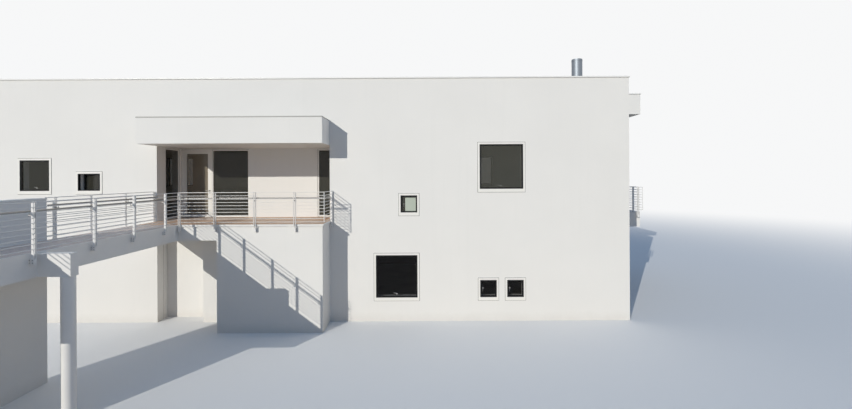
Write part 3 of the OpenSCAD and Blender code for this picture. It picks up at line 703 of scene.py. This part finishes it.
class HOUSE_OT_roof(Operator):
    """Finishes the roof and the copings, with strips over the coping's joints and the membrane's
    upstand behind the parapets"""
    bl_idname = "house.roof"
    bl_label = "Roof and copings"

    def covers(self, fixings):
        """A strip over each joint between two lengths of coping; the left end's stay off the fascia."""
        # The cap of the canopy at the right end has no joint
        lengths = [box for box in loose_boxes("roof_coping") if box[0].x < house_box()[1].x]
        inner_y = min(box[1].y for box in lengths)
        inner_top = max(v.co.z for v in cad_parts["roof_coping"].data.vertices
                        if abs(v.co.y - inner_y) < SLACK)
        bm = bmesh.new()
        for box in lengths:
            turn = wall_turn(box)
            start, end = seen(box, turn)
            out = -fixings.cover_inset if turn == 270 else fixings.cover_t
            count = math.ceil((end.x - start.x) / fixings.cover_pitch)
            for k in range(1, count):
                x = start.x + (end.x - start.x) * k / count
                made = block(bm, (x - fixings.cover / 2, start.y, start.z - fixings.cover_t),
                             (x + fixings.cover / 2, end.y + fixings.cover_t, end.z + out))
                inner = [v for v in made if v.co.y > end.y and v.co.z < start.z]
                bmesh.ops.translate(bm, vec=(0.0, inner_top - end.y, 0.0), verts=inner)
                bmesh.ops.transform(bm, matrix=facing(turn), verts=made)
        return bm

    def upstand(self, fixings):
        low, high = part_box("roof_slab")
        rise = house_box()[1].z - high.z - fixings.upstand_gap
        bm = bmesh.new()
        ring(bm, Vector((low.x, low.y, high.z)), high, fixings.upstand, rise, Matrix.Identity(4))
        return bm

    def execute(self, context):
        paints, fixings = context.scene.house_paints, context.scene.house_fixings
        membrane = roof_membrane(paints)
        finish_node(membrane, "roof_slab")
        white = painted_metal("coping_paint", paints.coping_white)
        finish_node(white, "roof_coping", "side_wall_coping")
        finish_node(painted_metal("edge_paint", paints.edge_grey, roughness=0.36), "canopy_coping")
        add_piece("coping_covers", self.covers(fixings), white)
        add_piece("roof_upstand", self.upstand(fixings), membrane)
        return {"FINISHED"}


class HOUSE_OT_decks(Operator):
    """Lays the boards of the balcony and the footbridge and drives their screws"""
    bl_idname = "house.decks"
    bl_label = "Decks"

    def rows(self, low, high, decks):
        """How many boards lie side by side, and how far apart."""
        count = max(1, round((high.y - low.y) / (decks.board + decks.gap)))
        return count, (high.y - low.y) / count

    def boards(self, low, high, breaks, decks):
        """Rows of boards; breaks holds where the boards of one row after another end."""
        bm = bmesh.new()
        count, pitch = self.rows(low, high, decks)
        for row in range(count):
            y = low.y + row * pitch
            ends = [low.x, *breaks[row % len(breaks)], high.x]
            for x0, x1 in zip(ends, ends[1:]):
                block(bm, (x0 + decks.gap / 2, y, low.z),
                      (x1 - decks.gap / 2, y + pitch - decks.gap, high.z))
        rounded(bm, decks.arris)
        return bm

    def screws(self, bm, low, high, decks):
        """Two screws in each board over each joist."""
        count, pitch = self.rows(low, high, decks)
        joists = max(2, math.ceil((high.x - low.x) / decks.joist_pitch) + 1)
        first, last = low.x + decks.screw_end, high.x - decks.screw_end
        for row in range(count):
            for k in range(joists):
                x = first + (last - first) * k / (joists - 1)
                for place in SCREW_ROWS:
                    y = low.y + (row + place) * pitch
                    rod(bm, (x, y, high.z - decks.screw_depth), (x, y, high.z + decks.screw_rise),
                        decks.screw, 8)

    def execute(self, context):
        paints, decks = context.scene.house_paints, context.scene.house_decks
        wood = deck_boards(decks)
        screws = bmesh.new()
        low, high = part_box("balcony_deck")
        third = (high.x - low.x) / 3
        breaks = ([low.x + third], [low.x + 2 * third])
        add_piece("balcony_boards", self.boards(low, high, breaks, decks), wood,
                  ["balcony_deck"])
        self.screws(screws, low, high, decks)
        low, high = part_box("bridge_deck")
        add_piece("bridge_boards", self.boards(low, high, ([],), decks), wood,
                  ["bridge_deck"])
        self.screws(screws, low, high, decks)
        steel = brushed_metal("screw_steel", paints.screw_steel, grain=400.0, roughness=0.4)
        add_piece("deck_screws", screws, steel)
        return {"FINISHED"}


class HOUSE_OT_metalwork(Operator):
    """Finishes the footbridge's steel, the balustrades, the handrails and the flue, and adds the
    posts' bolts, the handrails' end caps and the flue's band"""
    bl_idname = "house.metalwork"
    bl_label = "Metalwork"

    def foot_bolts(self, bm, points, place, fixings):
        """Through the flats and the wall plate at a post's foot; returns where its flats lie."""
        outer = max(p.z for p in points) - SLACK
        left, right = (pick(p.x for p in points if p.z > outer) for pick in (min, max))
        edges = [p.z for p in points if abs(p.x - right) < SLACK]
        middle = (min(edges) + max(edges)) / 2
        plate = min(p.z for p in points) + fixings.foot_plate
        aside = 0.1 * (max(p.x for p in points) - right)
        wall_bolt = 0.7 * fixings.bolt
        for row in BOLT_ROWS:
            y = points[0].y + fixings.foot * row
            for x, side in ((left, -1.0), (right, 1.0)):
                bolt(bm, (x, y, middle), (side, 0.0, 0.0), fixings.bolt, fixings.bolt_head, place)
                bolt(bm, (x + side * aside, y, plate), (0.0, 0.0, 1.0), wall_bolt,
                     fixings.bolt_head, place)
        return left, right, min(edges)

    def bolts(self, fixings):
        """The bolts of all the posts' feet, and the screws of the arms that hold a handrail."""
        arm_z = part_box("balcony_deck")[1].z + fixings.arm_level
        bm = bmesh.new()
        for name, carrier in CARRIED_BY.items():
            for foot in post_feet(name):
                place = facing(slab_turn(foot, carrier))
                points = [place.inverted() @ point for point in foot]
                left, right, inner = self.foot_bolts(bm, points, place, fixings)
                # The balcony at the right end has no handrail
                if name == "terrace_balustrade":
                    continue
                for x in (left + fixings.screw, right - fixings.screw):
                    bolt(bm, (x, arm_z, inner - fixings.arm_plate), (0.0, 0.0, -1.0),
                         fixings.screw, fixings.screw / 2, place, sides=12)
        return bm

    def end_caps(self, fixings):
        """A flat cap on both ends of each handrail, which runs along the inner side of its arms."""
        bm = bmesh.new()
        radius = fixings.handrail / 2
        for first, last in loose_boxes("handrails"):
            if runs_along_x((first, last)):
                first.y = last.y = last.y - radius
            elif first.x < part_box("bridge_slab")[0].x:
                first.x = last.x = last.x - radius
            else:
                first.x = last.x = first.x + radius
            first.z = last.z = last.z - radius
            along = (last - first).normalized()
            rim, grip = along * fixings.cap_rim, along * fixings.cap_grip
            for start, end in ((first - rim, first + grip), (last - grip, last + rim)):
                rod(bm, start, end, fixings.handrail + fixings.cap_rim, 32)
        return bm

    def flue_band(self, fixings):
        low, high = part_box("flue")
        middle = (low + high) / 2
        bm = bmesh.new()
        hoop(bm, (middle.x, middle.y, low.z + fixings.flue_band_z),
             (high.x - low.x) / 2 - fixings.flue_collar, fixings.flue_band_t, fixings.flue_band)
        return bm

    def execute(self, context):
        paints, fixings = context.scene.house_paints, context.scene.house_fixings
        white = painted_metal("steel_paint", paints.steel_white, roughness=0.38)
        finish_node(white, "bridge_slab", "bridge_column", "outrigger_beam")
        finish_node(painted_metal("rail_coat", paints.steel_white, roughness=0.33), *CARRIED_BY)
        satin = brushed_metal("satin_steel", paints.satin_steel, grain=160.0, roughness=0.42)
        finish_node(satin, "handrails")
        # The flue's dark bluish steel is a painted reflection of the sky.
        flue_steel_painted_reflection = brushed_metal("flue_steel_painted_reflection", paints.flue_steel_painted_reflection, grain=6.0, grain_z=420.0,
                                   roughness=0.52)
        finish_node(flue_steel_painted_reflection, "flue")
        zinc = brushed_metal("bolt_zinc", paints.bolt_zinc, grain=500.0, roughness=0.38)
        add_piece("rail_bolts", self.bolts(fixings), zinc)
        add_piece("handrail_caps", self.end_caps(fixings), satin)
        add_piece("flue_band", self.flue_band(fixings), flue_steel_painted_reflection)
        return {"FINISHED"}


class HOUSE_OT_windows(Operator):
    """Finishes the windows, with the joint round each white surround, the handles inside and the
    frosted film"""
    bl_idname = "house.windows"
    bl_label = "Windows"

    def handle(self, bm, point, along, fixings, place):
        """A round rose on the sash, a neck and a lever; z points outwards, so it stands along -z."""
        rose_thickness, knee_depth, neck_width, lever_width = 0.010, 0.034, 0.018, 0.020
        point, along = Vector(point), Vector(along)
        inwards = Vector((0.0, 0.0, -1.0))
        verts = rod(bm, point, point + inwards * rose_thickness, fixings.rose, 24)
        knee = point + inwards * knee_depth
        verts += rod(bm, point, knee, neck_width, 16)
        verts += rod(bm, knee - along * neck_width / 2, knee + along * fixings.grip, lever_width, 16)
        bmesh.ops.transform(bm, matrix=place, verts=verts)

    def handles(self, fixings):
        """In front and at the rear: at the left of small windows, and at the foot of the others. The
        window that stands open is the only one wider than it is tall, and has none."""
        hanging, nearly_level = (0.0, -1.0, 0.0), (-0.97, 0.24, 0.0)
        bm = bmesh.new()
        for box in loose_boxes("window_frames"):
            turn = wall_turn(box)
            low, high = seen(box, turn)
            wide, tall = high.x - low.x, high.y - low.y
            if wide > tall or not runs_along_x(box):
                continue
            if wide < fixings.small_window:
                point = (low.x + fixings.handle_in, (low.y + high.y) / 2, low.z)
                self.handle(bm, point, hanging, fixings, facing(turn))
            else:
                point = ((low.x + high.x) / 2, low.y + fixings.handle_in, low.z)
                self.handle(bm, point, nearly_level, fixings, facing(turn))
        return bm

    def film(self, fixings):
        """On the small window beside the canopy, whose pane has the lowest foot of the front's
        upper ones."""
        panes = [seen(box, 0) for box in loose_boxes("window_glass") if wall_turn(box) == 0]
        upper = [pane for pane in panes if pane[0].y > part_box("upper_floor")[1].z]
        low, high = min(upper, key=lambda pane: pane[0].y)
        face = high.z + fixings.film_gap
        bm = bmesh.new()
        # The clear strips at the left and top are painted shade for the reveal's shadow; the left one
        # also leaves the handle in view.
        block(bm, (low.x + fixings.film_side_painted_shade, low.y, face),
              (high.x, high.y - fixings.film_top_painted_shade, face + fixings.film))
        bmesh.ops.transform(bm, matrix=facing(0), verts=bm.verts)
        return bm

    def joints(self, fixings):
        """Filler on the wall round each white surround."""
        spread = Vector((fixings.joint, fixings.joint, 0.0))
        bm = bmesh.new()
        for box in loose_boxes("window_surrounds"):
            turn = wall_turn(box)
            low, high = seen(box, turn)
            ring(bm, low - spread, high + spread, fixings.joint, fixings.joint_rise, facing(turn))
        return bm

    def execute(self, context):
        paints, fixings = context.scene.house_paints, context.scene.house_fixings
        add_piece("window_joints", self.joints(fixings), joint_filler(paints))
        add_piece("frosted_film", self.film(fixings), frosted_film(paints))
        steel = brushed_metal("handle_steel", paints.handle_steel, grain=300.0, roughness=0.55,
                              metallic=0.35)
        add_piece("window_handles", self.handles(fixings), steel)
        finish_node(painted_metal("trim_paint", paints.trim_white, roughness=0.40),
                    "window_surrounds")
        finish_node(painted_metal("frame_paint", paints.frame_black, roughness=0.45, specular=0.2),
                    "window_frames")
        # The windows' panes carry painted light for the lit rooms and reflections; the door's pane
        # carries its curtain's tone.
        finish_node(clear_glass("clear_glass", paints, paints.upper_pane_painted_light),
                    "window_glass", "entrance_window_glass")
        finish_node(clear_glass("door_pane", paints, paints.door_haze), "entrance_door_glass")
        return {"FINISHED"}


class HOUSE_OT_entrance(Operator):
    """Finishes the entrance's door and frames, and adds gaskets, joints, the lock and the sill"""
    bl_idname = "house.entrance"
    bl_label = "Entrance"

    def rims(self, names, width, rise):
        """A ring round the edge of each part of some nodes, on its outer face."""
        bm = bmesh.new()
        for name in names:
            for box in loose_boxes(name):
                turn = 0 if runs_along_x(box) else 90
                low, high = seen(box, turn)
                low.z = high.z
                ring(bm, low, high, width, rise, facing(turn))
        return bm

    def lock(self, fixings):
        """A round lock below the lever: its rose, its plug and the keyhole's plate. Faces and backs
        are distances in front of the door's leaf."""
        rose_face, plug_back, plug_face, key_back, key_face = 0.007, 0.006, 0.011, 0.0105, 0.0115
        plug_width, key_side, key_low, key_high = 0.018, 0.0015, 0.011, 0.003
        low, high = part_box("entrance_door_handle")
        x, y = high.x - fixings.rose / 2, high.y
        z = (low.z + high.z) / 2 - fixings.lock_drop
        bm = bmesh.new()
        rod(bm, (x, y, z), (x, y - rose_face, z), fixings.rose, 32)
        rod(bm, (x, y - plug_back, z), (x, y - plug_face, z), plug_width, 24)
        block(bm, (x - key_side, y - key_face, z - key_low), (x + key_side, y - key_back, z + key_high))
        return bm

    def sill(self, fixings):
        """A metal strip in front of the door leaf that slopes outwards."""
        low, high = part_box("entrance_door_leaf")
        back = low.y - fixings.sill_gap
        front = back - fixings.sill
        bm = bmesh.new()
        made = block(bm, (low.x, front, low.z), (high.x, back, low.z + fixings.sill_back))
        outer = [v for v in made if v.co.z > low.z + fixings.sill_front and v.co.y < (front + back) / 2]
        drop = fixings.sill_back - fixings.sill_front
        bmesh.ops.translate(bm, vec=(0.0, 0.0, -drop), verts=outer)
        rounded(bm, fixings.sill_arris)
        return bm

    def execute(self, context):
        paints, fixings = context.scene.house_paints, context.scene.house_fixings
        gaskets = self.rims(("entrance_window_glass", "entrance_door_glass"),
                            fixings.gasket, fixings.gasket_rise)
        rubber = painted_metal("gasket_rubber", paints.gasket_black, roughness=0.6, peel=500.0)
        add_piece("entrance_gaskets", gaskets, rubber)
        joints = self.rims(("entrance_window_frames", "entrance_door_frame"),
                           fixings.gasket, fixings.joint_rise)
        add_piece("entrance_joints", joints, joint_filler(paints))
        lock_steel, lever_steel = (brushed_metal(name, paints.satin_steel, grain=300.0)
                                   for name in ("lock_steel", "lever_steel"))
        add_piece("door_lock", self.lock(fixings), lock_steel)
        add_piece("door_sill", self.sill(fixings), lock_steel)
        finish_node(painted_metal("door_paint", paints.trim_white, roughness=0.36),
                    "entrance_door_frame", "entrance_door_leaf", "entrance_window_frames")
        finish_node(lever_steel, "entrance_door_handle")
        return {"FINISHED"}


class HOUSE_OT_stage(Operator):
    """Sets the floor, the backdrop, the lamps and the camera"""
    bl_idname = "house.stage"
    bl_label = "Stage"

    def shown(self, tree):
        """1 for what the camera sees, also in gloss or through glass, and 0 for light on the house."""
        rays = tree.nodes.new("ShaderNodeLightPath").outputs
        found = rays["Is Camera Ray"]
        for key in ("Is Glossy Ray", "Is Transmission Ray"):
            either = tree.nodes.new("ShaderNodeMath")
            either.operation = "MAXIMUM"
            tree.links.new(found, either.inputs[0])
            tree.links.new(rays[key], either.inputs[1])
            found = either.outputs[0]
        return found

    def blend(self, tree, factor, first, second, surface):
        """Shows the first shader, and the second where the factor is 1."""
        mix = tree.nodes.new("ShaderNodeMixShader")
        for value, socket in ((factor, mix.inputs[0]), (first, mix.inputs[1]), (second, mix.inputs[2]),
                              (mix.outputs[0], surface)):
            tree.links.new(value, socket)

    def floor_paint(self, stage):
        """A pale matt paint that fades into the backdrop far away."""
        f = Finish("floor_paint", roughness=0.9)
        x, y, _ = f.split()
        away = f.math("SQRT", f.math("ADD", f.math("POWER", x, 2.0), f.math("POWER", y, 2.0)))
        faded = f.between(away, stage.fade_from, stage.fade_to, curve="SMOOTHSTEP")
        shown = self.shown(f.tree)
        f.set_colour(f.mixed(shown, stage.floor_bounce, stage.floor))
        glow = f.add("ShaderNodeEmission")
        glow.inputs["Color"].default_value = (*stage.backdrop, 1.0)
        self.blend(f.tree, f.times(faded, shown), f.shader.outputs[0], glow.outputs[0], f.surface)
        return f.material

    def floor(self, scene, stage):
        bm = bmesh.new()
        bmesh.ops.create_grid(bm, x_segments=1, y_segments=1, size=stage.floor_reach)
        mesh = bpy.data.meshes.new("floor")
        bm.to_mesh(mesh)
        bm.free()
        mesh.materials.append(self.floor_paint(stage))
        piece = bpy.data.objects.new("floor", mesh)
        scene.collection.objects.link(piece)

    def backdrop(self, scene, stage):
        """Soft light all round the house, and a plain pale ground behind it."""
        world = bpy.data.worlds.new("soft_light")
        world.use_nodes = True
        tree = world.node_tree
        tree.nodes.clear()
        light = tree.nodes.new("ShaderNodeBackground")
        light.inputs["Color"].default_value = (*stage.fill_colour, 1.0)
        light.inputs["Strength"].default_value = stage.fill
        view = tree.nodes.new("ShaderNodeBackground")
        view.inputs["Color"].default_value = (*stage.backdrop, 1.0)
        surface = tree.nodes.new("ShaderNodeOutputWorld").inputs["Surface"]
        self.blend(tree, self.shown(tree), light.outputs[0], view.outputs[0], surface)
        scene.world = world

    def lamps(self, scene, stage):
        key = bpy.data.lights.new("key", "SUN")
        key.energy = stage.key
        key.angle = stage.key_size
        key.color = stage.key_colour
        lamp = bpy.data.objects.new("key", key)
        lamp.rotation_euler = Vector(stage.key_from).to_track_quat("Z", "Y").to_euler()
        scene.collection.objects.link(lamp)

    def camera(self, scene, stage):
        data = bpy.data.cameras.new("camera")
        data.sensor_width = 36.0
        data.lens = stage.lens
        data.shift_y = stage.shift
        data.clip_end = 1000.0
        camera = bpy.data.objects.new("camera", data)
        turn = Matrix.Rotation(math.radians(90.0), 4, "X") @ Matrix.Rotation(stage.roll, 4, "Z")
        camera.matrix_world = Matrix.Translation(Vector(stage.eye)) @ turn
        scene.collection.objects.link(camera)
        scene.camera = camera

    def execute(self, context):
        scene = context.scene
        for step in (self.floor, self.backdrop, self.lamps, self.camera):
            step(scene, scene.house_stage)
        scene.view_settings.view_transform = "Standard"
        return {"FINISHED"}


class HOUSE_PT_panel(Panel):
    """Lists the house's pieces, colours and sizes"""
    bl_idname = "HOUSE_PT_panel"
    bl_label = "House"
    bl_space_type = "VIEW_3D"
    bl_region_type = "UI"
    bl_category = "House"

    def draw(self, context):
        layout = self.layout
        for operator in OPERATORS:
            layout.operator(operator.bl_idname)
        for key in GROUPS:
            box = layout.box()
            group = getattr(context.scene, key)
            for name in GROUPS[key].__annotations__:
                box.prop(group, name)


# The add-on

GROUPS = {
    "house_paints": HousePaints, "house_decks": HouseDecks, "house_fixings": HouseFixings,
    "house_stage": HouseStage,
}
OPERATORS = (
    HOUSE_OT_walls, HOUSE_OT_roof, HOUSE_OT_decks, HOUSE_OT_metalwork, HOUSE_OT_windows,
    HOUSE_OT_entrance, HOUSE_OT_stage,
)


def register():
    for kind in (*GROUPS.values(), *OPERATORS, HOUSE_PT_panel):
        bpy.utils.register_class(kind)
    for key, group in GROUPS.items():
        setattr(bpy.types.Scene, key, PointerProperty(type=group))


def unregister():
    for key in GROUPS:
        delattr(bpy.types.Scene, key)
    for kind in reversed((*GROUPS.values(), *OPERATORS, HOUSE_PT_panel)):
        bpy.utils.unregister_class(kind)


def main():
    register()
    bpy.ops.house.walls()
    bpy.ops.house.roof()
    bpy.ops.house.decks()
    bpy.ops.house.metalwork()
    bpy.ops.house.windows()
    bpy.ops.house.entrance()
    bpy.ops.house.stage()


if __name__ == "__main__":
    main()
